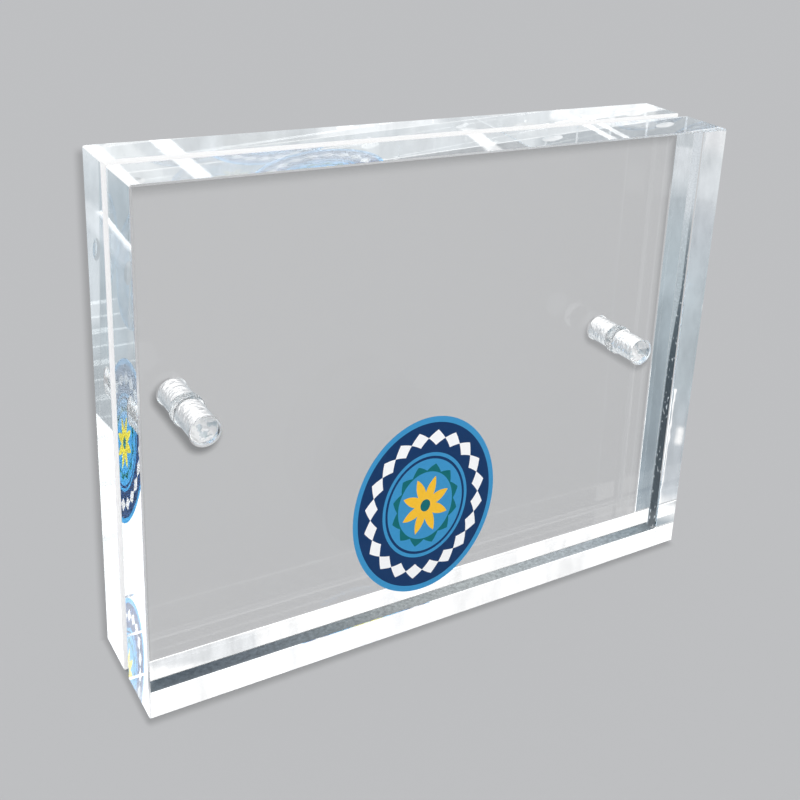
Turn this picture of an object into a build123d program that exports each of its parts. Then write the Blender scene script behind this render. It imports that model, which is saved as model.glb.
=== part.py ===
import os

from build123d import *

# Clear block frame: two thick acrylic blocks that stand upright on their long edges, one
# behind the other, and are held a small gap apart by two shouldered pegs. All sizes are in
# millimetres. X is the width, -Y is the side that is looked at, and Z is up. The origin is
# under the middle of the frame, on the surface that it stands on.

# Blocks, sawn from cast sheet and polished all over
block_width = 127.0
block_height = 101.6
front_thickness = 12.8
back_thickness = 11.8
face_bevel = 0.3  # round the face that looks out
front_seam_bevel = 0.3  # round the front block's face that looks at the gap
back_seam_bevel = 0.9  # round the back block's face that looks at the gap
corner_bevel = 0.3  # along the four edges that cross the thickness

# Gap for the photo, kept by the pegs' collars
photo_gap = 2.0

# Bores, one near each side, straight through both blocks
bore_diameter = 5.5
bore_bevel = 0.25
left_bore_inset = 11.4
left_bore_height = 56.5
right_bore_inset = 17.3
right_bore_height = 52.9

# Pegs, turned from round acrylic rod with a spigot at each end
collar_diameter = 6.35
collar_round = 0.2
spigot_clearance = 0.05  # to the bore, all round
collar_clearance = 0.05  # to each block
front_tip_inset = 0.7  # from the front face to the peg's front end
back_tip_inset = 1.8  # from the back face to the peg's back end
tip_bevel = 0.35
centre_mark_diameter = 1.5
centre_mark_depth = 0.5

# Places along Y
frame_depth = front_thickness + photo_gap + back_thickness
front_face_y = -frame_depth / 2
front_seam_y = front_face_y + front_thickness
back_seam_y = front_seam_y + photo_gap
back_face_y = back_seam_y + back_thickness

# Places of the bores' axes in the XZ plane
left_axis = (left_bore_inset - block_width / 2, left_bore_height)
right_axis = (block_width / 2 - right_bore_inset, right_bore_height)


def plate(thickness, seam_bevel):
    """A block with no bores: its outer face at Y = 0, its seam face behind, all edges bevelled."""
    place = Pos(0, thickness / 2, block_height / 2)
    slab = place * Box(block_width, thickness, block_height)
    corners_cut = chamfer(slab.edges().filter_by(Axis.Y), corner_bevel)
    slab = chamfer(slab.faces().sort_by(Axis.Y).first.edges(), face_bevel)
    slab = chamfer(slab.faces().sort_by(Axis.Y).last.edges(), seam_bevel)
    return slab & corners_cut


def block(thickness, seam_bevel):
    """The plate with both bores straight through it and a small bevel at each mouth."""
    drilled = plate(thickness, seam_bevel)
    for x, z in (left_axis, right_axis):
        mouth = Plane(origin=(x, 0, z), z_dir=(0, 1, 0))
        drilled -= extrude(mouth * Circle(bore_diameter / 2), thickness)
    return chamfer(drilled.edges().filter_by(GeomType.CIRCLE), bore_bevel)


def peg(axis):
    """A round peg on its axis: a collar in the gap, and a spigot into each block."""
    spigot_radius = bore_diameter / 2 - spigot_clearance
    collar_radius = collar_diameter / 2
    mark_radius = centre_mark_diameter / 2
    front_tip = front_face_y + front_tip_inset
    back_tip = back_face_y - back_tip_inset
    collar_front = front_seam_y + collar_clearance
    collar_back = back_seam_y - collar_clearance
    # Half of the long section, as distance from the axis and place along it
    section = Polyline(
        (0, front_tip + centre_mark_depth),
        (mark_radius, front_tip),
        (spigot_radius - tip_bevel, front_tip),
        (spigot_radius, front_tip + tip_bevel),
        (spigot_radius, collar_front),
        (collar_radius, collar_front),
        (collar_radius, collar_back),
        (spigot_radius, collar_back),
        (spigot_radius, back_tip - tip_bevel),
        (spigot_radius - tip_bevel, back_tip),
        (mark_radius, back_tip),
        (0, back_tip - centre_mark_depth),
        close=True,
    )
    turned = revolve(make_face(section), Axis.Y)
    rims = turned.edges().filter_by(GeomType.CIRCLE)
    collar_rims = rims.filter_by(lambda rim: rim.radius > bore_diameter / 2)
    turned = fillet(collar_rims, collar_round)
    x, z = axis
    return Pos(x, 0, z) * turned


front = block(front_thickness, front_seam_bevel)
back = block(back_thickness, back_seam_bevel)
pieces = {
    "front_block": Pos(0, front_face_y, 0) * front,
    "back_block": Pos(0, back_face_y, 0) * mirror(back, about=Plane.XZ),
    "left_peg": peg(left_axis),
    "right_peg": peg(right_axis),
}

os.makedirs("parts", exist_ok=True)
for name, piece in pieces.items():
    export_step(piece, f"parts/{name}.step")
    print(f"{name}: {piece.volume:.0f} cubic millimetres")
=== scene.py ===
import math
import bpy
import numpy as np
from mathutils import Matrix, Vector


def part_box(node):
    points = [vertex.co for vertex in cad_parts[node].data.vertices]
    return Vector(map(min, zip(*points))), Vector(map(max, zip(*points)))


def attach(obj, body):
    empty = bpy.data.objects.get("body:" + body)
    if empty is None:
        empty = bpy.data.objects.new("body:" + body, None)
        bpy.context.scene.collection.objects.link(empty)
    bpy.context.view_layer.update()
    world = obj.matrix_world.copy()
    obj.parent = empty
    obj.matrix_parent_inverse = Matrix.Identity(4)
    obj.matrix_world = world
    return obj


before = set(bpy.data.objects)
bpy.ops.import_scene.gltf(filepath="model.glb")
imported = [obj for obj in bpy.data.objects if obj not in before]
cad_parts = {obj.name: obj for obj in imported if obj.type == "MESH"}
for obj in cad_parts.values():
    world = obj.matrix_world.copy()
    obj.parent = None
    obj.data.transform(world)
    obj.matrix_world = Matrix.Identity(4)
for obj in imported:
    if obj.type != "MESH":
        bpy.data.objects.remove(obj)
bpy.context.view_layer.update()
print("frame loaded:", ", ".join(sorted(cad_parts)))

scene = bpy.context.scene
scene.view_settings.view_transform = "Standard"
mm = 0.001  # metres in a millimetre
refraction = 1.49  # of acrylic

# Places read off the solids
frontLow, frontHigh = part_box("front_block")
backLow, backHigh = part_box("back_block")
frontFace, frontSeam = frontLow.y, frontHigh.y
backSeam, backFace = backLow.y, backHigh.y
halfWidth = frontHigh.x

# Long paths: light zigzags between the polished faces before it leaves a block
lightPaths = {
    "longest": 40,
    "mirrored": 40,
    "throughGlass": 40,
    "scattered": 3,
    "transparent": 32,
}
scene.cycles.max_bounces = lightPaths["longest"]
scene.cycles.glossy_bounces = lightPaths["mirrored"]
scene.cycles.transmission_bounces = lightPaths["throughGlass"]
scene.cycles.diffuse_bounces = lightPaths["scattered"]
scene.cycles.transparent_max_bounces = lightPaths["transparent"]
scene.cycles.caustics_reflective = True
scene.cycles.caustics_refractive = True
scene.cycles.use_denoising = True


# A colour written in 0 to 255 as a screen shows it, turned into light
def shade(red, green, blue):
    screen = np.array([red, green, blue]) / 255
    light = np.where(screen <= 0.04045, screen / 12.92, ((screen + 0.055) / 1.055) ** 2.4)
    return tuple(float(part) for part in light) + (1.0,)


# Bounds of a noise texture's values, past which few of its spots reach
noiseLow, noiseHigh = 0.3, 0.7


# Small helpers for node trees: a value is a number, a colour or another node's socket
def feed(tree, socket, value):
    if isinstance(value, bpy.types.NodeSocket):
        tree.links.new(value, socket)
    else:
        socket.default_value = value


def sums(tree, operation, *values, clamp=False):
    node = tree.nodes.new("ShaderNodeMath")
    node.operation = operation
    node.use_clamp = clamp
    for socket, value in zip(node.inputs, values):
        feed(tree, socket, value)
    return node.outputs[0]


# one * one + other * other
def squares(tree, one, other):
    return sums(tree, "MULTIPLY_ADD", one, one, sums(tree, "MULTIPLY", other, other))


# From low to high in step with share
def blend(tree, share, low, high):
    return sums(tree, "MULTIPLY_ADD", share, sums(tree, "SUBTRACT", high, low), low)


# Goes smoothly from low to high while value goes from start to end
def fade(tree, value, start, end, low=0.0, high=1.0):
    node = tree.nodes.new("ShaderNodeMapRange")
    node.interpolation_type = "SMOOTHSTEP"
    for socket, part in zip(node.inputs, (value, start, end, low, high)):
        feed(tree, socket, part)
    return node.outputs[0]


# Whether a whole number, such as how often light has turned in a mirror, is past count
def past(tree, number, count):
    return sums(tree, "GREATER_THAN", number, count + 0.5)


# Whether it is just that
def exactly(tree, number, count):
    return sums(tree, "COMPARE", number, count, 0.5)


def blendColours(tree, factor, below, above):
    node = tree.nodes.new("ShaderNodeMix")
    node.data_type = "RGBA"
    feed(tree, node.inputs["Factor"], factor)
    feed(tree, node.inputs[6], below)
    feed(tree, node.inputs[7], above)
    return node.outputs[2]


def mixShaders(tree, factor, below, above):
    node = tree.nodes.new("ShaderNodeMixShader")
    for socket, value in zip(node.inputs, (factor, below, above)):
        feed(tree, socket, value)
    return node.outputs[0]


def apart(tree, vector):
    node = tree.nodes.new("ShaderNodeSeparateXYZ")
    feed(tree, node.inputs[0], vector)
    return node.outputs["X"], node.outputs["Y"], node.outputs["Z"]


def flatPoint(tree, x, y):
    node = tree.nodes.new("ShaderNodeCombineXYZ")
    feed(tree, node.inputs["X"], x)
    feed(tree, node.inputs["Y"], y)
    return node.outputs[0]


def ramp(tree, share, stops):
    node = tree.nodes.new("ShaderNodeValToRGB")
    feed(tree, node.inputs[0], share)
    marks = node.color_ramp.elements
    while len(marks) < len(stops):
        marks.new(0.5)
    for mark, (place, colour) in zip(marks, stops):
        mark.position = place
        mark.color = colour
    return node.outputs[0]


def noise(tree, place, size, detail=2, roughness=0.5):
    node = tree.nodes.new("ShaderNodeTexNoise")
    feed(tree, node.inputs["Vector"], place)
    node.inputs["Scale"].default_value = 1 / size
    node.inputs["Detail"].default_value = detail
    node.inputs["Roughness"].default_value = roughness
    return node.outputs["Fac"]


# Normal of a surface in relief: height times distance, in metres
def bumpNormal(tree, height, distance=1.0, strength=1.0):
    node = tree.nodes.new("ShaderNodeBump")
    feed(tree, node.inputs["Strength"], strength)
    feed(tree, node.inputs["Distance"], distance)
    feed(tree, node.inputs["Height"], height)
    return node.outputs[0]


# A place on the piece itself, in metres
def objectPlace(tree):
    return tree.nodes.new("ShaderNodeTexCoord").outputs["Object"]


def lightPath(tree):
    return tree.nodes.new("ShaderNodeLightPath").outputs


def newTree(data):
    data.use_nodes = True
    data.node_tree.nodes.clear()
    return data.node_tree


# A colour made lighter, within what a surface can be
def lightened(colour, gain, lift=0.0):
    return tuple(min(1.0, part * gain + lift) for part in colour[:3]) + (1.0,)


# Camera, found from the corners of the frame in the photograph
cameraSetup = {
    "place": (-115.24 * mm, -188.26 * mm, 154.36 * mm),
    "turn": 35.056,  # degrees towards +X
    "tilt": -19.449,  # degrees from level
    "roll": 4.171,
    "lens": 52.742,
    "sensor": 36.0,
    "shiftX": -0.1274,
    "shiftY": -0.1704,
    "nearest": 0.01,
    "farthest": 100.0,
}


def addCamera(setup):
    data = bpy.data.cameras.new("photoCamera")
    data.lens = setup["lens"]
    data.sensor_width = setup["sensor"]
    data.shift_x = setup["shiftX"]
    data.shift_y = setup["shiftY"]
    data.clip_start = setup["nearest"]
    data.clip_end = setup["farthest"]
    camera = bpy.data.objects.new("photoCamera", data)
    turn = Matrix.Rotation(-math.radians(setup["turn"]), 4, "Z")
    tilt = Matrix.Rotation(math.radians(90 + setup["tilt"]), 4, "X")
    roll = Matrix.Rotation(math.radians(setup["roll"]), 4, "Z")
    camera.matrix_world = Matrix.Translation(setup["place"]) @ turn @ tilt @ roll
    scene.collection.objects.link(camera)
    scene.camera = camera


addCamera(cameraSetup)
print("camera set")


# Studio: plain pale grey all round where it is looked at straight on; what the polished faces
# mirror is a white room over a blue-grey table
plainGrey = shade(190, 191, 193)
throughGrey = shade(201, 201, 202)  # the same, before the glass in front of it takes its share
white = shade(255, 255, 255)


# A soft-edged panel on the studio's walls: bearing (0 along +Y, towards +X) and elevation of its
# middle, half of its width and of its height, width of its soft edge, all in degrees; its shade;
# how many times brighter than that it is; how far its bearing shifts for a degree of elevation
def reflector(bearing, height, halfWide, halfHigh, soft, colour, gain=1.0, lean=0.0):
    return {
        "bearing": bearing,
        "height": height,
        "halfWide": halfWide,
        "halfHigh": halfHigh,
        "soft": soft,
        "colour": tuple(part * gain for part in colour[:3]) + (1.0,),
        "lean": lean,
    }


studio = {
    # elevation in degrees and the shade there
    "room": [
        (-90, shade(246, 248, 249)),
        (-46, shade(236, 239, 241)),
        (-38, shade(196, 203, 208)),
        (-30, shade(188, 195, 201)),
        (-24, shade(196, 203, 208)),
        (-18, shade(204, 210, 214)),
        (-12, shade(206, 211, 215)),
        (-4, shade(236, 238, 241)),
        (10, shade(236, 238, 241)),
        (22, shade(255, 255, 255)),
        (90, shade(255, 255, 255)),
    ],
    # the ceiling as the polished faces mirror it: between which elevations it grows, and how
    # many times brighter than white it then is
    "ceilingFrom": 18.0,
    "ceilingTo": 25.0,
    "ceilingGain": 1.26,
    "deepGain": 1.9,  # the same after more than ceilingTurns turns inside a block
    "ceilingTurns": 4,
    "horizon": 9.0,  # degrees up and down from level, where polished faces mirror a darker wall
    "horizonSoft": 4.0,
    "horizonShade": 0.6,
    "horizonTurns": 3,  # after more turns that wall no longer shows
    "panels": [
        # big white reflectors to the right and the left
        reflector(90, -20, 32, 22, 6, white),
        reflector(-90, -20, 32, 22, 6, shade(240, 243, 246)),
        # seen through the top faces
        reflector(25, -14.6, 5, 1.6, 1, shade(206, 213, 218)),
        reflector(151.5, -13.2, 3, 0.7, 0.6, shade(250, 252, 254)),
        reflector(-39, -12, 3.6, 1.2, 0.6, shade(226, 230, 233)),
        reflector(-139, -12.5, 4.5, 1.5, 1, shade(108, 121, 130)),
        # seen through the left faces, and mirrored by them
        reflector(165.2, -18, 0.9, 4.5, 0.8, shade(240, 244, 248)),
        reflector(15.6, -20, 1.2, 4.2, 1, shade(192, 202, 209)),
        reflector(-15.5, -22, 3, 7, 1, shade(150, 160, 167)),
        reflector(-16, 20.5, 2, 3.2, 1, shade(165, 175, 183)),
        reflector(-15.5, -29, 3, 5, 2, shade(60, 66, 72)),
        reflector(-16, -37.6, 3, 3, 2, shade(240, 243, 247), gain=1.5),
        reflector(-15.62, -18.25, 0.3, 0.95, 0.16, white, gain=4.5, lean=0.755),
        reflector(-15.3, -18.3, 0.5, 1.5, 0.5, shade(225, 230, 235), lean=0.755),
        # beside the window's right border
        reflector(-47, 26, 2.5, 4, 1, shade(126, 134, 140)),
        # what the top faces mirror
        reflector(25, 14.6, 4.2, 0.9, 0.8, white, gain=0.85),
        reflector(16.6, 15, 0.9, 1.0, 0.6, white, gain=1.2, lean=1.1),
        reflector(15.64, 15.12, 0.4, 1.0, 0.2, white, gain=2.4, lean=1.0),
        reflector(39.5, 11.6, 2.6, 0.7, 0.3, white, gain=1.5),
        reflector(18.95, 14.9, 0.5, 1.1, 0.25, white, gain=2.6, lean=1.15),
        reflector(33.75, 13.6, 0.45, 0.55, 0.3, white, gain=2.4, lean=1.5),
        reflector(39.0, 12.5, 0.28, 0.7, 0.2, white, gain=2.4, lean=2.4),
        reflector(40.1, 12.55, 0.22, 0.6, 0.2, white, gain=2.4, lean=2.4),
    ],
    # these lie over the strips below
    "lines": [
        reflector(-44.72, -27.6, 0.04, 3.0, 0.04, white, gain=1.2, lean=-0.01),
        reflector(-45.25, -26.8, 0.18, 0.4, 0.3, white, gain=1.1),
        reflector(19, 37.5, 3.5, 0.6, 0.4, shade(232, 234, 236), gain=0.9),
    ],
    # upright strips of uneven wall, which the right-hand faces mirror: elevation and shade
    "strips": [
        {
            "bearing": -43.4,
            "halfWide": 1.15,
            "shades": [
                (-32, shade(158, 171, 180)),
                (-29.5, shade(158, 171, 180)),
                (-25.2, shade(161, 174, 182)),
                (-20.4, shade(172, 184, 191)),
                (-17.5, shade(182, 193, 199)),
                (-15.6, shade(190, 199, 205)),
                (-15.0, shade(216, 223, 228)),
                (-13.8, shade(230, 234, 238)),
            ],
        },
        {
            "bearing": -45.6,
            "halfWide": 1.05,
            "shades": [
                (-31.25, shade(150, 162, 170)),
                (-30.8, shade(165, 176, 183)),
                (-30.7, shade(255, 255, 255)),
                (-29.85, shade(255, 255, 255)),
                (-29.6, shade(206, 212, 218)),
                (-27, shade(196, 202, 208)),
                (-24.5, shade(189, 199, 205)),
                (-20, shade(192, 202, 208)),
                (-16.5, shade(198, 204, 210)),
                (-15.2, shade(214, 218, 222)),
                (-13.4, shade(218, 222, 225)),
                (-12.8, shade(240, 241, 243)),
            ],
        },
    ],
    "stripSoft": 0.1,  # degrees, of the strips' upright edges
    "stripEnds": (0.6, 0.8, 0.2),  # how far they go on below and above, and their ends' softness
    "cloudSize": 1.6,  # degrees, of the blotches on those walls and panels
    "cloudStretch": 0.3,  # their width for each degree of their height
    "cloudDetail": 8,
    "cloudRoughness": 0.7,
    "cloudDepth": 0.17,  # how much brighter and darker than the shades they are
    # dark cloths that the window mirrors, so that it stays plain; tilt is how far the height
    # shifts for each degree of bearing
    "cloth": shade(116, 121, 126),
    "clothSoft": 0.3,
    "cloths": [
        {"bearing": 149.7, "height": -25.4, "halfWide": 13.8, "halfHigh": 11.6, "tilt": -0.133},
        {"bearing": -150, "height": -26.4, "halfWide": 16, "halfHigh": 11, "tilt": 0},
        {"bearing": 149.7, "height": 33.5, "halfWide": 13.6, "halfHigh": 7.5, "tilt": 0},
    ],
    "lightLevel": 1.1,  # times the shades, where the room lights a matt surface
    "deepLevel": 3.0,  # the same, where light gets to it after more than levelTurns turns
    "levelTurns": 2,
}


# 1 within half to each side of the middle, 0 outside, with a soft edge
def inBand(tree, off, half, soft):
    return fade(tree, sums(tree, "ABSOLUTE", off), half - soft / 2, half + soft / 2, 1.0, 0.0)


# Degrees from the middle, the short way round
def offFrom(tree, bearing, middle):
    return sums(tree, "WRAP", sums(tree, "SUBTRACT", bearing, middle), 180.0, -180.0)


# Shades by elevation, from straight down to straight up
def byHeight(tree, height, shades):
    share = sums(tree, "DIVIDE", sums(tree, "ADD", height, 90.0), 180.0)
    return ramp(tree, share, [((angle + 90) / 180, colour) for angle, colour in shades])


def addPanel(tree, painted, bearing, height, panel):
    above = sums(tree, "SUBTRACT", height, panel["height"])
    off = offFrom(tree, bearing, panel["bearing"])
    if panel["lean"]:
        off = sums(tree, "SUBTRACT", off, sums(tree, "MULTIPLY", above, panel["lean"]))
    across = inBand(tree, off, panel["halfWide"], panel["soft"])
    up = inBand(tree, above, panel["halfHigh"], panel["soft"])
    return blendColours(tree, sums(tree, "MULTIPLY", across, up), painted, panel["colour"])


def addStrip(tree, painted, bearing, height, strip, setup):
    off = offFrom(tree, bearing, strip["bearing"])
    across = inBand(tree, off, strip["halfWide"], setup["stripSoft"])
    below, above, soft = setup["stripEnds"]
    lowest, highest = strip["shades"][0][0] - below, strip["shades"][-1][0] + above
    off = sums(tree, "SUBTRACT", height, (lowest + highest) / 2)
    up = inBand(tree, off, (highest - lowest) / 2, soft)
    shades = byHeight(tree, height, strip["shades"])
    return blendColours(tree, sums(tree, "MULTIPLY", across, up), painted, shades)


def paintWalls(tree, setup, bearing, height):
    painted = byHeight(tree, height, setup["room"])
    for panel in setup["panels"]:
        painted = addPanel(tree, painted, bearing, height, panel)
    for strip in setup["strips"]:
        painted = addStrip(tree, painted, bearing, height, strip, setup)
    for line in setup["lines"]:
        painted = addPanel(tree, painted, bearing, height, line)
    return painted


# How many times brighter than painted the walls are in a mirror: blotches drawn out upright, the
# bright ceiling and the darker wall at the horizon
def wallGain(tree, setup, bearing, height, turns):
    spot = flatPoint(tree, bearing, sums(tree, "MULTIPLY", height, setup["cloudStretch"]))
    clouds = noise(tree, spot, setup["cloudSize"], setup["cloudDetail"], setup["cloudRoughness"])
    depth = setup["cloudDepth"]
    level = fade(tree, clouds, noiseLow, noiseHigh, 1 - depth, 1 + depth)
    ceiling = fade(tree, height, setup["ceilingFrom"], setup["ceilingTo"])
    deep = past(tree, turns, setup["ceilingTurns"])
    ceilingGain = blend(tree, deep, setup["ceilingGain"], setup["deepGain"])
    gain = sums(tree, "MULTIPLY", blend(tree, ceiling, 1.0, ceilingGain), level)
    edge = setup["horizon"]
    low = sums(tree, "ABSOLUTE", height)
    wall = fade(tree, low, edge - setup["horizonSoft"], edge, setup["horizonShade"], 1.0)
    unseen = past(tree, turns, setup["horizonTurns"])
    return sums(tree, "MULTIPLY", gain, sums(tree, "MAXIMUM", wall, unseen))


# Where the cloths hang
def clothShare(tree, setup, bearing, height):
    share = 0.0
    for cloth in setup["cloths"]:
        off = offFrom(tree, bearing, cloth["bearing"])
        middle = sums(tree, "MULTIPLY_ADD", off, cloth["tilt"], cloth["height"])
        across = inBand(tree, off, cloth["halfWide"], setup["clothSoft"])
        above = sums(tree, "SUBTRACT", height, middle)
        up = inBand(tree, above, cloth["halfHigh"], setup["clothSoft"])
        share = sums(tree, "MULTIPLY_ADD", across, up, share, clamp=True)
    return share


def paintRoom(setup):
    world = bpy.data.worlds.new("studio")
    scene.world = world
    tree = newTree(world)
    x, y, z = apart(tree, tree.nodes.new("ShaderNodeTexCoord").outputs["Generated"])
    height = sums(tree, "DEGREES", sums(tree, "ARCSINE", z))
    bearing = sums(tree, "DEGREES", sums(tree, "ARCTAN2", x, y))
    path = lightPath(tree)
    turns = path["Glossy Depth"]
    mirrored = past(tree, turns, 0)
    hung = sums(tree, "MULTIPLY", clothShare(tree, setup, bearing, height), mirrored)
    painted = blendColours(tree, hung, paintWalls(tree, setup, bearing, height), setup["cloth"])
    gain = blend(tree, hung, wallGain(tree, setup, bearing, height, turns), 1.0)
    strength = blend(tree, mirrored, 1.0, gain)
    # Straight through or straight at it, the room is the plain grey of the floor
    unscattered = exactly(tree, path["Diffuse Depth"], 0)
    unmirrored = sums(tree, "SUBTRACT", 1.0, mirrored)
    through = sums(tree, "MULTIPLY", path["Is Transmission Ray"], unmirrored)
    through = sums(tree, "MULTIPLY", through, unscattered)
    shown = blendColours(tree, through, painted, throughGrey)
    shown = blendColours(tree, path["Is Camera Ray"], shown, plainGrey)
    # What lights matt surfaces has a level of its own
    aimed = sums(tree, "MAXIMUM", path["Is Camera Ray"], path["Is Glossy Ray"])
    aimed = sums(tree, "MAXIMUM", aimed, path["Is Transmission Ray"])
    aimed = sums(tree, "MULTIPLY", aimed, unscattered)
    turned = past(tree, turns, setup["levelTurns"])
    level = blend(tree, turned, setup["lightLevel"], setup["deepLevel"])
    light = tree.nodes.new("ShaderNodeBackground")
    feed(tree, light.inputs["Color"], shown)
    feed(tree, light.inputs["Strength"], blend(tree, aimed, level, strength))
    output = tree.nodes.new("ShaderNodeOutputWorld")
    feed(tree, output.inputs["Surface"], light.outputs[0])


paintRoom(studio)

floorSetup = {
    "halfSide": 30.0,
    "drop": 0.02 * mm,  # under the blocks, so that their feet keep air beneath them
    "glow": 0.94,  # share of its shade that shadows can't reach
    # painted contact shadow in the blocks' footprint, from the left end to the right
    "under": [
        (0.0, shade(96, 108, 117)),
        (0.08, shade(84, 94, 103)),
        (0.2, shade(110, 119, 127)),
        (0.33, shade(134, 143, 148)),
        (0.42, shade(160, 166, 168)),
        (0.6, shade(178, 184, 186)),
        (0.85, shade(174, 183, 189)),
        (0.96, shade(140, 154, 162)),
        (1.0, shade(66, 80, 88)),
    ],
    "underEdge": 1.0 * mm,  # how softly that shadow ends
    "grain": 0.9 * mm,  # size of the spots in the shadows
    "grainDepth": 0.4,  # how much brighter and darker than the shades they are
    "grainDetail": 6,
    "grainRoughness": 0.8,
    # a shadow painted on the floor behind the frame, as the gap's open right end shows it: the
    # bearing of its right edge, its dark core and the paler strip to the left of the core
    "shadowBearing": 44.29,
    "shadowShift": 0.25 * mm,
    "coreWidth": 1.75 * mm,
    "coreShrinks": (95 * mm, 185 * mm),  # between these distances the core thins to a line
    "coreLine": 0.4 * mm,
    "coreSoft": 0.4 * mm,
    "core": [
        (0.0, shade(62, 74, 82)),
        (0.1, shade(50, 62, 70)),
        (0.25, shade(56, 70, 79)),
        (0.36, shade(82, 95, 103)),
        (0.5, shade(112, 124, 131)),
        (0.6, shade(148, 158, 164)),
        (0.7, shade(203, 210, 215)),
        (1.0, shade(213, 218, 223)),
    ],
    "beside": [
        (0.0, shade(152, 165, 173)),
        (0.25, shade(170, 182, 189)),
        (0.5, shade(181, 192, 198)),
        (0.62, shade(192, 201, 207)),
        (0.68, shade(212, 218, 223)),
        (1.0, shade(215, 220, 225)),
    ],
    "shadowLength": 420 * mm,
    "shadowReach": 12 * mm,  # to each side of its bearing
    "dots": 0.5 * mm,  # size of the bright specks in it
    "dotStretch": 0.15,  # their width for each unit of their length, which lies along it
    "dotEdges": (0.68, 0.78),  # values of the noise at which a speck starts, and is full
    "dotShade": shade(205, 214, 220),
    "lit": shade(236, 237, 238),  # the floor as it lights the frame from below
}

# Painted soft shadows of the rims and pegs on the floor, laid down and to the left as a lamp at a
# fixed place would throw them
rimShadow = {
    "shadowSource": cameraSetup["place"],
    "depth": 0.34,  # share of the light that the shadow takes at its darkest
    "footReach": 2.2 * mm,  # below the front and left faces
    "leftStretch": 2.0,  # how much further than in front it reaches at the left
    "leftReach": 1.9 * mm,  # beside the back block's left edge
    "topReach": 2.7 * mm,  # within the window, under its top edge
    "rightReach": 2.4 * mm,  # the same, beside its right edge
    "lineReach": 0.5 * mm,  # thin lines within the other two edges
    "pegs": [("left_peg", 0.57), ("right_peg", 0.36)],  # and how dark their shadows are
    "pegShift": 0.7 * mm,  # to the left and down
    "pegSoft": 0.9 * mm,
}


# Two coordinates of the floor, along a bearing from the right end of the gap and across it
def alongBearing(tree, x, y, bearing):
    angle = math.radians(bearing)
    fromX = sums(tree, "SUBTRACT", x, halfWidth)
    along = sums(tree, "MULTIPLY", y, math.cos(angle))
    along = sums(tree, "MULTIPLY_ADD", fromX, math.sin(angle), along)
    across = sums(tree, "MULTIPLY", y, -math.sin(angle))
    across = sums(tree, "MULTIPLY_ADD", fromX, math.cos(angle), across)
    return along, across


def hypotenuse(tree, one, other):
    return sums(tree, "SQRT", squares(tree, one, other))


# How much a ray's slopes shrink inside a block: 1 / sqrt(n^2 + (n^2 - 1) (a^2 + b^2)), where a and
# b are its slopes in air, x and z for each metre along y
def bend(tree, slopeX, slopeZ):
    steep = squares(tree, slopeX, slopeZ)
    under = sums(tree, "MULTIPLY_ADD", steep, refraction**2 - 1, refraction**2)
    return sums(tree, "INVERSE_SQRT", under)


# Share of light that the painted shadow of the frame's foot and left edge leaves on the floor beside
# the frame
def besideFrame(tree, setup, x, y, slopeX, slopeZ):
    sourceX, sourceY, sourceZ = setup["shadowSource"]
    reach = setup["footReach"]
    belowFront = sums(tree, "MULTIPLY_ADD", slopeZ, frontFace - sourceY, sourceZ)
    belowFront = sums(tree, "MINIMUM", belowFront, 0.0)
    onward = sums(tree, "DIVIDE", -halfWidth - sourceX, sums(tree, "SUBTRACT", x, sourceX))
    belowLeft = sums(tree, "MAXIMUM", sums(tree, "SUBTRACT", onward, 1.0), 0.0)
    belowLeft = sums(tree, "MULTIPLY", belowLeft, sourceZ / setup["leftStretch"])
    foot = fade(tree, hypotenuse(tree, belowFront, belowLeft), 0.0, reach, 1.0, 0.0)
    foot = sums(tree, "MULTIPLY", foot, fade(tree, x, halfWidth - reach, halfWidth, 1.0, 0.0))
    atBackX = sums(tree, "MULTIPLY_ADD", slopeX, backFace - sourceY, sourceX)
    atBackZ = sums(tree, "MULTIPLY_ADD", slopeZ, backFace - sourceY, sourceZ)
    reach = setup["leftReach"]
    fromEdge = sums(tree, "ABSOLUTE", sums(tree, "ADD", atBackX, halfWidth))
    left = fade(tree, fromEdge, 0.0, reach, 1.0, 0.0)
    left = sums(tree, "MULTIPLY", left, fade(tree, atBackZ, backHigh.z - reach, backHigh.z, 1.0, 0.0))
    behind = sums(tree, "GREATER_THAN", y, backFace)
    dark = blend(tree, behind, foot, left)
    return sums(tree, "MULTIPLY_ADD", dark, -setup["depth"], 1.0)


# How dark the painted shadow of a peg is for a ray through the window, which runs on from the place
# where it meets the front face
def pegShadow(tree, setup, name, depth, faceX, faceZ, alongX, alongZ):
    low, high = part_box(name)
    offX = sums(tree, "SUBTRACT", (low.x + high.x) / 2 - setup["pegShift"], faceX)
    offZ = sums(tree, "SUBTRACT", (low.z + high.z) / 2 - setup["pegShift"], faceZ)
    dot = sums(tree, "MULTIPLY_ADD", offX, alongX, sums(tree, "MULTIPLY", offZ, alongZ))
    part = sums(tree, "DIVIDE", dot, squares(tree, alongX, alongZ), clamp=True)
    missX = sums(tree, "SUBTRACT", offX, sums(tree, "MULTIPLY", alongX, part))
    missZ = sums(tree, "SUBTRACT", offZ, sums(tree, "MULTIPLY", alongZ, part))
    miss = sums(tree, "SUBTRACT", hypotenuse(tree, missX, missZ), (high.x - low.x) / 2)
    return fade(tree, miss, -setup["pegSoft"], setup["pegSoft"], depth, 0.0)
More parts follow.
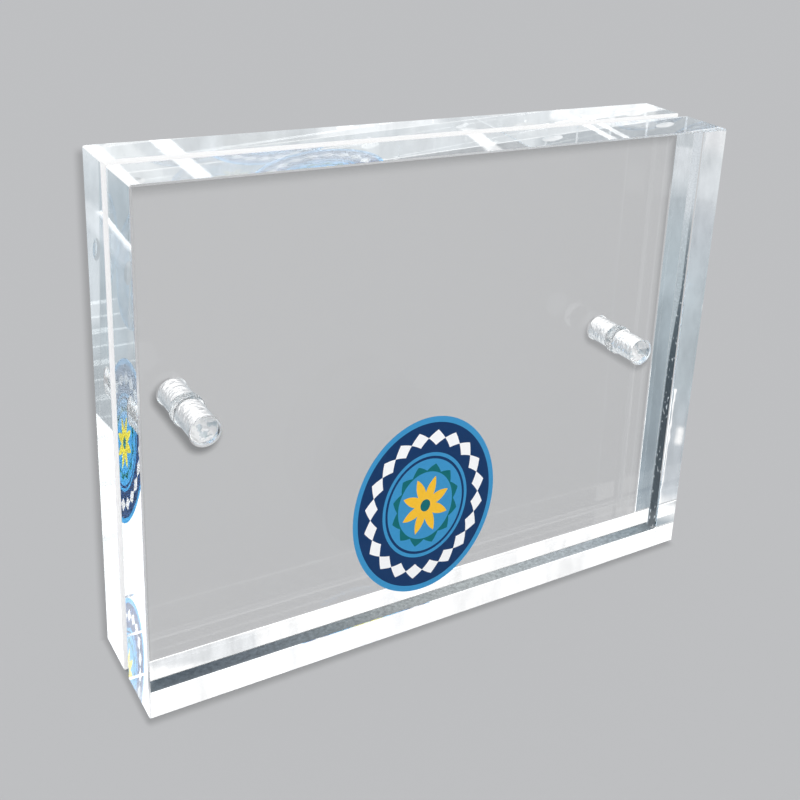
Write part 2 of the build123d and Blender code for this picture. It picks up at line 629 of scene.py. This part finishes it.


# Share of light that the painted shadows of the window's rims and the pegs leave on the floor as the
# window shows it
def throughWindow(tree, setup, y, slopeX, slopeZ):
    sourceX, sourceY, sourceZ = setup["shadowSource"]
    glass = frontSeam - frontFace + backFace - backSeam
    # The blocks set the ray aside, so its slopes before them are a little steeper
    aside = sums(tree, "SUBTRACT", 1.0, bend(tree, slopeX, slopeZ))
    aside = sums(tree, "MULTIPLY", aside, glass)
    more = sums(tree, "DIVIDE", aside, sums(tree, "SUBTRACT", y, sourceY))
    more = sums(tree, "ADD", more, 1.0)
    slopeX = sums(tree, "MULTIPLY", slopeX, more)
    slopeZ = sums(tree, "MULTIPLY", slopeZ, more)
    faceX = sums(tree, "MULTIPLY_ADD", slopeX, frontFace - sourceY, sourceX)
    faceZ = sums(tree, "MULTIPLY_ADD", slopeZ, frontFace - sourceY, sourceZ)
    reach = sums(tree, "MULTIPLY_ADD", bend(tree, slopeX, slopeZ), glass, backSeam - frontSeam)
    alongX = sums(tree, "MULTIPLY", slopeX, reach)
    alongZ = sums(tree, "MULTIPLY", slopeZ, reach)
    rims = (
        (sums(tree, "SUBTRACT", frontHigh.z, faceZ), setup["topReach"]),
        (sums(tree, "SUBTRACT", halfWidth, sums(tree, "ADD", faceX, alongX)), setup["rightReach"]),
        (sums(tree, "ADD", faceX, halfWidth), setup["lineReach"]),
        (sums(tree, "ADD", faceZ, alongZ), setup["lineReach"]),
    )
    dark = 0.0
    for within, width in rims:
        dark = sums(tree, "MAXIMUM", dark, fade(tree, within, 0.0, width, setup["depth"], 0.0))
    for name, depth in setup["pegs"]:
        shadow = pegShadow(tree, setup, name, depth, faceX, faceZ, alongX, alongZ)
        dark = sums(tree, "MAXIMUM", dark, shadow)
    return sums(tree, "SUBTRACT", 1.0, dark)


# Share of light that the painted shadows of the rims and pegs leave, seen beside the frame or through
# both blocks, which takes four transmissions
def lightLeft(tree, setup, x, y, path):
    sourceX, sourceY, sourceZ = setup["shadowSource"]
    away = sums(tree, "SUBTRACT", y, sourceY)
    slopeX = sums(tree, "DIVIDE", sums(tree, "SUBTRACT", x, sourceX), away)
    slopeZ = sums(tree, "DIVIDE", -sourceZ, away)
    beside = besideFrame(tree, setup, x, y, slopeX, slopeZ)
    through = throughWindow(tree, setup, y, slopeX, slopeZ)
    left = blend(tree, exactly(tree, path["Transmission Depth"], 4), 1.0, through)
    return blend(tree, path["Is Camera Ray"], left, beside)


# The frame's footprint, where a contact shadow is painted on the floor: its share and its shade
def contactShadow(tree, setup, x, y):
    edge = setup["underEdge"]
    inX = fade(tree, sums(tree, "ABSOLUTE", x), halfWidth - edge, halfWidth, 1.0, 0.0)
    inY = fade(tree, sums(tree, "ABSOLUTE", y), backFace - edge, backFace, 1.0, 0.0)
    fromLeft = sums(tree, "DIVIDE", sums(tree, "ADD", x, halfWidth), 2 * halfWidth)
    return sums(tree, "MULTIPLY", inX, inY), ramp(tree, fromLeft, setup["under"])


# A shadow painted on the floor behind the frame: its share and its shade. Only a look through one
# block shows it, which takes two transmissions
def shadowBehind(tree, setup, x, y, path):
    along, across = alongBearing(tree, x, y, setup["shadowBearing"])
    share = sums(tree, "DIVIDE", along, setup["shadowLength"])
    beside, core = ramp(tree, share, setup["beside"]), ramp(tree, share, setup["core"])
    near, far = setup["coreShrinks"]
    width = fade(tree, along, near, far, setup["coreWidth"], setup["coreLine"])
    toLeft = sums(tree, "SUBTRACT", setup["shadowShift"], across)
    over, soft = sums(tree, "SUBTRACT", toLeft, width), setup["coreSoft"] / 2
    shown = blendColours(tree, fade(tree, over, -soft, soft, 1.0, 0.0), beside, core)
    grid = flatPoint(tree, sums(tree, "MULTIPLY", along, setup["dotStretch"]), across)
    speck = fade(tree, noise(tree, grid, setup["dots"], detail=0), *setup["dotEdges"])
    shown = blendColours(tree, speck, shown, setup["dotShade"])
    seen = exactly(tree, path["Transmission Depth"], 2)
    seen = sums(tree, "MULTIPLY", seen, sums(tree, "GREATER_THAN", along, 0.0))
    within = sums(tree, "LESS_THAN", sums(tree, "ABSOLUTE", across), setup["shadowReach"])
    return sums(tree, "MULTIPLY", seen, within), shown


def paintFloor(setup):
    material = bpy.data.materials.new("paleGreyFloor")
    tree = newTree(material)
    place = objectPlace(tree)
    x, y = apart(tree, place)[:2]
    path = lightPath(tree)
    under, underShade = contactShadow(tree, setup, x, y)
    behind, behindShade = shadowBehind(tree, setup, x, y, path)
    left = lightLeft(tree, rimShadow, x, y, path)
    # What it shows by itself: plain grey, darkened by the painted rim and peg shadows and the painted
    # shadows under and behind the frame, with spots in these last two
    bare = blendColours(tree, path["Is Camera Ray"], throughGrey, plainGrey)
    bare = blendColours(tree, left, (0.0, 0.0, 0.0, 1.0), bare)
    shown = blendColours(tree, behind, bare, behindShade)
    shown = blendColours(tree, under, shown, underShade)
    spots = noise(tree, place, setup["grain"], setup["grainDetail"], setup["grainRoughness"])
    depth = setup["grainDepth"]
    level = fade(tree, spots, noiseLow, noiseHigh, 1 - depth, 1 + depth)
    glow = tree.nodes.new("ShaderNodeEmission")
    feed(tree, glow.inputs["Color"], shown)
    inSpots = sums(tree, "MAXIMUM", under, behind)
    feed(tree, glow.inputs["Strength"], blend(tree, inSpots, 1.0, level))
    # What it shows as lit
    matt = tree.nodes.new("ShaderNodeBsdfDiffuse")
    lit = blendColours(tree, path["Is Diffuse Ray"], plainGrey, setup["lit"])
    feed(tree, matt.inputs["Color"], lit)
    seen = sums(tree, "MAXIMUM", path["Is Camera Ray"], path["Is Transmission Ray"])
    share = sums(tree, "MULTIPLY", seen, sums(tree, "MAXIMUM", under, setup["glow"]))
    share = sums(tree, "MAXIMUM", share, behind)
    surface = mixShaders(tree, share, matt.outputs[0], glow.outputs[0])
    # A mirrored ray passes it, and meets the room's lower half instead
    clear = tree.nodes.new("ShaderNodeBsdfTransparent")
    mirrored = past(tree, path["Glossy Depth"], 0)
    surface = mixShaders(tree, mirrored, surface, clear.outputs[0])
    output = tree.nodes.new("ShaderNodeOutputMaterial")
    feed(tree, output.inputs["Surface"], surface)
    return material


def addFloor(setup):
    half, height = setup["halfSide"], -setup["drop"]
    sides = ((-half, -half), (half, -half), (half, half), (-half, half))
    mesh = bpy.data.meshes.new("floor")
    mesh.from_pydata([(x, y, height) for x, y in sides], [], [(0, 1, 2, 3)])
    mesh.materials.append(paintFloor(setup))
    floor = bpy.data.objects.new("floor", mesh)
    scene.collection.objects.link(floor)


addFloor(floorSetup)
print("floor and studio set")


# Clear cast acrylic: polished faces, and bevels left satin by the scraper
blockAcrylic = {
    "tint": (0.40, 0.75, 0.88, 1.0),  # what is left of each colour after a metre, at density 1
    "density": 0.5,
    "satinRoughness": 0.5,
    "satinInside": 0.2,  # share of that roughness where it is met from inside the block
    "deepSatin": (0.12, 0.13, 0.14, 1.0),  # painted shade: satin as it is drawn, dark grey, after more than deepTurns turns
    "deepTurns": 4,
    # the satin bevel at the gap: how far behind the back block's face its middle lies, and how
    # far it reaches to each side of that
    "seamBevel": (0.5 * mm, 0.7 * mm),
    "edgeDepth": 1.0 * mm,  # what lies deeper than this under the edge faces belongs to a bore
    "edgeRipple": 0.0025 * mm,  # height of the waves that polishing leaves on the edge faces
    "rippleSize": 9.0 * mm,
    "boreLump": 0.42 * mm,  # height of the lumps that the drill left in the bores
    "boreLumpSize": 1.5 * mm,
    "boreLumpDetail": 3,
    "boresUpTo": 0,  # turns inside a block after which its bores no longer show
    "longest": 16,  # turns after which light leaks out of a block, wherever it is
}

# How far a face looks along an axis: one that runs along it less than edgeOn, one that lies
# across it facingOn or more, and a bevel bevelOn, give or take bevelSpan
edgeOn, bevelOn, bevelSpan, facingOn = 0.1, 0.7, 0.2, 0.9


def isBevel(tree, toward):
    return sums(tree, "COMPARE", toward, bevelOn, bevelSpan)


# Principled surface in clear acrylic, with the absorption inside it
def acrylicSurface(tree, setup, normal):
    surface = tree.nodes.new("ShaderNodeBsdfPrincipled")
    surface.inputs["IOR"].default_value = refraction
    feed(tree, surface.inputs["Normal"], normal)
    depth = tree.nodes.new("ShaderNodeVolumeAbsorption")
    depth.inputs["Color"].default_value = setup["tint"]
    depth.inputs["Density"].default_value = setup["density"]
    output = tree.nodes.new("ShaderNodeOutputMaterial")
    feed(tree, output.inputs["Surface"], surface.outputs[0])
    feed(tree, output.inputs["Volume"], depth.outputs[0])
    return surface


def clearAcrylic(name, setup):
    material = bpy.data.materials.new(name)
    tree = newTree(material)
    place = objectPlace(tree)
    x, y, z = apart(tree, place)
    geometry = tree.nodes.new("ShaderNodeNewGeometry").outputs
    normal = apart(tree, geometry["True Normal"])
    towardX, towardY, towardZ = (sums(tree, "ABSOLUTE", part) for part in normal)
    outside = sums(tree, "SUBTRACT", 1.0, geometry["Backfacing"])
    # Bores run across the inside of a block, clear of its edge faces
    edge, middle = setup["edgeDepth"], (frontLow.z + frontHigh.z) / 2
    inside = sums(tree, "LESS_THAN", sums(tree, "ABSOLUTE", x), halfWidth - edge)
    inside = sums(tree, "MULTIPLY", inside, sums(tree, "COMPARE", z, middle, middle - edge))
    # Bevels round the front and back faces slope between those faces and the edge faces
    slanted = isBevel(tree, towardY)
    bevelMiddle, bevelReach = setup["seamBevel"]
    atSeam = sums(tree, "COMPARE", y, backSeam + bevelMiddle, bevelReach)
    # Bevels along the edges that cross the thickness
    corners = sums(tree, "MULTIPLY", isBevel(tree, towardX), isBevel(tree, towardZ))
    corners = sums(tree, "MULTIPLY", corners, sums(tree, "SUBTRACT", 1.0, inside))
    satin = sums(tree, "MAXIMUM", sums(tree, "MULTIPLY", slanted, atSeam), corners)
    satin = sums(tree, "MULTIPLY", satin, outside)
    # Waves on the edge faces, and lumps in the bores
    edgeFaces = sums(tree, "LESS_THAN", towardY, edgeOn)
    inBore = sums(tree, "MULTIPLY", edgeFaces, inside)
    waves = noise(tree, place, setup["rippleSize"])
    lumps = noise(tree, place, setup["boreLumpSize"], setup["boreLumpDetail"])
    ripple = sums(tree, "MULTIPLY", waves, setup["edgeRipple"])
    lump = sums(tree, "MULTIPLY", lumps, setup["boreLump"])
    relief = bumpNormal(tree, blend(tree, inBore, ripple, lump), strength=edgeFaces)
    surface = acrylicSurface(tree, setup, relief)
    turns = lightPath(tree)["Glossy Depth"]
    # Painted shade: the satin bevels are drawn dark grey where light meets them after many turns
    dim = sums(tree, "MULTIPLY", satin, past(tree, turns, setup["deepTurns"]))
    feed(tree, surface.inputs["Base Color"], blendColours(tree, dim, white, setup["deepSatin"]))
    # Light leaks out of a block where a mirror image of a bore would show, and in the end anywhere
    hidden = sums(tree, "MULTIPLY", inside, sums(tree, "LESS_THAN", towardY, facingOn))
    hidden = sums(tree, "MULTIPLY", hidden, past(tree, turns, setup["boresUpTo"]))
    leak = sums(tree, "MAXIMUM", hidden, past(tree, turns, setup["longest"]))
    feed(tree, surface.inputs["Alpha"], sums(tree, "SUBTRACT", 1.0, leak))
    feed(tree, surface.inputs["Transmission Weight"], sums(tree, "SUBTRACT", 1.0, satin))
    rough = blend(tree, outside, setup["satinInside"], 1.0)
    rough = sums(tree, "MULTIPLY", rough, setup["satinRoughness"])
    rough = sums(tree, "MULTIPLY", sums(tree, "MAXIMUM", slanted, corners), rough)
    feed(tree, surface.inputs["Roughness"], rough)
    return material


# Pegs of the same acrylic, still lumpy from turning
pegAcrylic = {
    "tint": (0.40, 0.75, 0.88, 1.0),
    "density": 0.5,
    "lumpSize": 1.4 * mm,
    "lumpHeight": 0.36 * mm,
    "roughness": 0.2,
    "clearness": 0.72,
    "veil": shade(186, 200, 207),  # shade of the greyer patches in it
    "veilSize": 1.5 * mm,
    "veilDetail": 3,
    "veilEdges": (0.48, 0.66),  # values of the noise at which a patch starts, and is full
    "upTo": 0,  # turns inside a block after which the pegs no longer show
}


def turnedAcrylic(name, setup):
    material = bpy.data.materials.new(name)
    tree = newTree(material)
    place = objectPlace(tree)
    lumps = noise(tree, place, setup["lumpSize"])
    surface = acrylicSurface(tree, setup, bumpNormal(tree, lumps, distance=setup["lumpHeight"]))
    veils = noise(tree, place, setup["veilSize"], setup["veilDetail"])
    patch = fade(tree, veils, *setup["veilEdges"])
    feed(tree, surface.inputs["Base Color"], blendColours(tree, patch, white, setup["veil"]))
    hidden = past(tree, lightPath(tree)["Glossy Depth"], setup["upTo"])
    feed(tree, surface.inputs["Alpha"], sums(tree, "SUBTRACT", 1.0, hidden))
    surface.inputs["Transmission Weight"].default_value = setup["clearness"]
    surface.inputs["Roughness"].default_value = setup["roughness"]
    return material


blockMaterial = clearAcrylic("polishedAcrylic", blockAcrylic)
pegMaterial = turnedAcrylic("turnedAcrylic", pegAcrylic)
for name, material in (
    ("front_block", blockMaterial),
    ("back_block", blockMaterial),
    ("left_peg", pegMaterial),
    ("right_peg", pegMaterial),
):
    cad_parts[name].material_slots[0].material = material
print("acrylic finished")


# Printed medallion on the front face: an upright oval of rings, each zone bounded by two curves
# that run once round it. Distances from the middle are shares of the oval's half width and height.
printSetup = {
    "middle": (-6.9 * mm, 29.3 * mm),
    "halfWidth": 16.2 * mm,
    "halfHeight": 19.7 * mm,
    "proud": 0.01 * mm,  # in front of the glass
    "sunk": 0.03 * mm,  # into it, so that the ink shows from inside the block too
    "steps": 240,
    # from the middle outwards: the ink inside a curve, the curve's share of the oval, how far out
    # a zigzag takes it from there (in, below 0), and how often on its way round
    "zones": [
        ("teal", 0.07, 0, 0),
        ("yellow", 0.15, 0.19, 8),
        ("skyBlue", 0.385, 0, 0),
        ("teal", 0.40, 0.075, 12),
        ("skyBlue", 0.53, 0, 0),
        ("navy", 0.56, 0, 0),
        ("skyBlue", 0.60, 0, 0),
        ("navy", 0.765, -0.085, 20),
        ("white", 0.767, 0.085, 20),
        ("navy", 0.935, 0, 0),
        ("skyBlue", 1.0, 0, 0),
    ],
    "inks": {
        "navy": shade(10, 52, 98),
        "skyBlue": shade(56, 144, 196),
        "white": shade(250, 252, 254),
        "yellow": shade(244, 190, 48),
        "teal": shade(0, 104, 110),
    },
    "grain": 0.6 * mm,  # size of the paler spots in the ink
    "grainGain": 1.12,  # how many times lighter they are
    "roughness": (0.32, 0.42),
    "specular": 0.2,
    # painted light on its mirror images inside the block, after more than one turn: what each ink is
    # multiplied by and what is added to it
    "brightGain": 1.6,
    "brightLift": 0.03,
    # a painted veil of reflected light turns them pale between two heights, and all over after more
    # than paleTurns turns
    "fades": (31 * mm, 39 * mm),
    "paleTurns": 4,
    "pale": shade(200, 209, 217),
    "paleShare": 0.72,
}


def inkMaterial(name, colour, setup):
    material = bpy.data.materials.new(name)
    tree = newTree(material)
    place = objectPlace(tree)
    grain = noise(tree, place, setup["grain"])
    printed = blendColours(tree, grain, colour, lightened(colour, setup["grainGain"]))
    # Painted out reflection: mirrored once, as the window mirrors it, the print is drawn as dark as
    # the cloths round it
    turns = lightPath(tree)["Glossy Depth"]
    printed = blendColours(tree, exactly(tree, turns, 1), printed, studio["cloth"])
    # Painted light: after more than one turn the mirror images of the print are drawn lighter
    bright = lightened(colour, setup["brightGain"], setup["brightLift"])
    more = past(tree, turns, 1)
    printed = blendColours(tree, more, printed, bright)
    # Painted reflection: a pale veil over those images, at the top and after many turns
    upper = fade(tree, apart(tree, place)[2], *setup["fades"])
    pale = sums(tree, "MAXIMUM", past(tree, turns, setup["paleTurns"]), upper)
    pale = sums(tree, "MULTIPLY", sums(tree, "MULTIPLY", pale, more), setup["paleShare"])
    printed = blendColours(tree, pale, printed, setup["pale"])
    surface = tree.nodes.new("ShaderNodeBsdfPrincipled")
    feed(tree, surface.inputs["Base Color"], printed)
    rough = fade(tree, grain, noiseLow, noiseHigh, *setup["roughness"])
    feed(tree, surface.inputs["Roughness"], rough)
    surface.inputs["Specular IOR Level"].default_value = setup["specular"]
    output = tree.nodes.new("ShaderNodeOutputMaterial")
    feed(tree, output.inputs["Surface"], surface.outputs[0])
    return material


# A wave that climbs and falls in straight lines, from 0 to 1 and back, count times round
def zigzag(turn, count):
    return 1 - np.abs((turn * count / (2 * np.pi)) % 1 * 2 - 1)


def addPrint(setup):
    steps, zones = setup["steps"], setup["zones"]
    turn = np.arange(steps) * 2 * np.pi / steps
    curves = np.array([share + out * zigzag(turn, count) for ink, share, out, count in zones])
    x = setup["middle"][0] + setup["halfWidth"] * curves * np.sin(turn)
    z = setup["middle"][1] + setup["halfHeight"] * curves * np.cos(turn)
    ringPoints = np.stack([x.ravel(), z.ravel()], axis=1)
    flat = np.vstack([[setup["middle"]], ringPoints])
    outside, inside = frontFace - setup["proud"], frontFace + setup["sunk"]
    sheets = [np.insert(flat, 1, place, axis=1) for place in (outside, inside)]
    # Faces: a fan in the middle, a band between two curves, and a rim that joins the two sheets
    count = len(flat)
    index = 1 + np.arange(len(zones) * steps).reshape(len(zones), steps)
    ahead = np.roll(index, -1, axis=1)
    fan = np.stack([np.zeros(steps, int), ahead[0], index[0]], axis=1)
    bands = np.stack([index[:-1], ahead[:-1], ahead[1:], index[1:]], axis=-1).reshape(-1, 4)
    rim = np.stack([index[-1], ahead[-1], ahead[-1] + count, index[-1] + count], axis=1)
    faces = fan.tolist() + bands.tolist()
    faces += (fan[:, ::-1] + count).tolist() + (bands[:, ::-1] + count).tolist() + rim.tolist()
    mesh = bpy.data.meshes.new("front_print")
    mesh.from_pydata(np.vstack(sheets).tolist(), [], faces)
    names = list(setup["inks"])
    zoneInk = np.array([names.index(zone[0]) for zone in zones])
    faceInk = np.concatenate([np.tile(np.repeat(zoneInk, steps), 2), np.repeat(zoneInk[-1:], steps)])
    mesh.polygons.foreach_set("material_index", faceInk)
    for name in names:
        mesh.materials.append(inkMaterial(name + "Ink", setup["inks"][name], setup))
    piece = bpy.data.objects.new("front_print", mesh)
    scene.collection.objects.link(piece)
    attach(piece, "front")


addPrint(printSetup)
print("print laid on")
